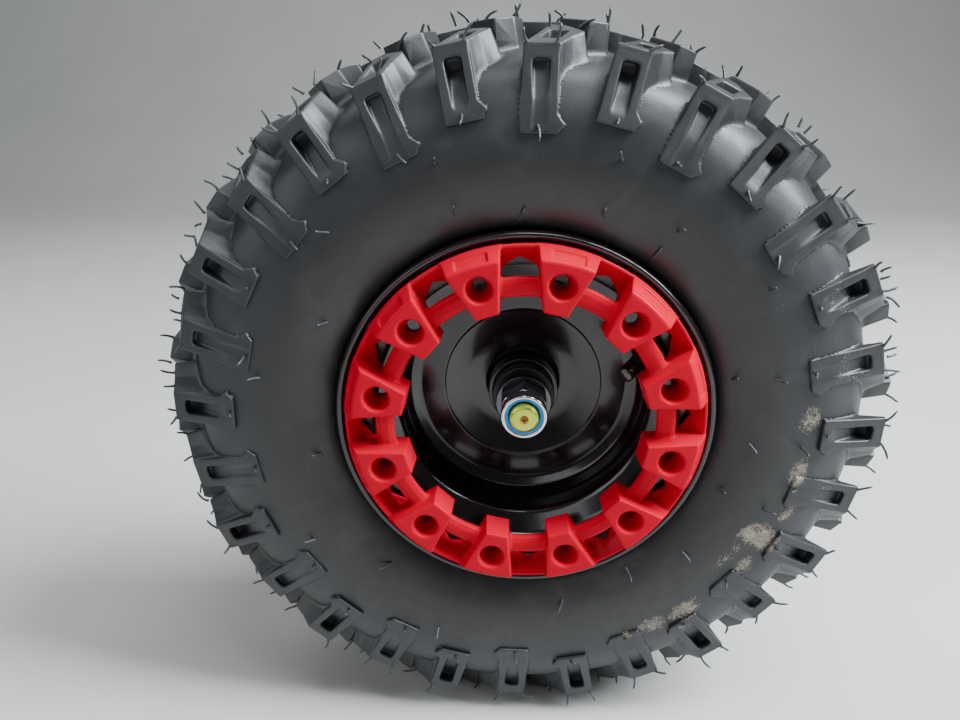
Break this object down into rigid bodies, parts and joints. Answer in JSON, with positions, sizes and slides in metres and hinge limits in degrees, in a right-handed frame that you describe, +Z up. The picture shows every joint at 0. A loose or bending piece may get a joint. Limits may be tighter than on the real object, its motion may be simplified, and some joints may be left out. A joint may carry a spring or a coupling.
{
  "type": "quad bike wheel",
  "caption": "Knobby front wheel of a small quad bike, with a red trim ring on a black steel rim, turning on a stub axle held by a steering knuckle.",
  "frame": {"origin": "centre of the kingpin bore in the steering knuckle, level with the axle", "axes": "+Z up along the kingpin, -Y out of the vehicle through the wheel's outer face, -X forward, +X back along the steering arm"},
  "size_m": [0.3564, 0.157, 0.3564],
  "materials": {
    "tyre": "matte black rubber with dust",
    "rim_paint": "gloss black",
    "ring_red": "gloss red",
    "nut_zinc": "bright zinc",
    "axle_zinc": "yellow zinc plating",
    "steel": "machined steel",
    "nylon_blue": "blue nylon",
    "black_rubber": "satin black rubber",
    "cap_plastic": "black plastic",
    "knuckle_paint": "satin black paint"
  },
  "bodies": {
    "knuckle_side": {"knuckle": "knuckle_paint", "steering_arm": "knuckle_paint", "stub_axle": "axle_zinc", "front_sleeve": "steel", "rear_sleeve": "steel", "washer": "nut_zinc", "lock_nut": "nut_zinc", "nut_insert": "nylon_blue"},
    "wheel_side": {"tyre": "tyre", "rim_barrel": "rim_paint", "wheel_disc": "rim_paint", "hub_tube": "rim_paint", "front_bearing": "steel", "rear_bearing": "steel", "front_seal": "black_rubber", "rear_seal": "black_rubber", "trim_ring": "ring_red", "valve_stem": "black_rubber", "valve_cap": "cap_plastic"}
  },
  "joints": [
    {"name": "wheel_spin", "type": "hinge", "parent": "knuckle_side", "child": "wheel_side", "pos_m": [0, -0.074, 0], "axis": [0, 1, 0], "continuous": true}
  ]
}
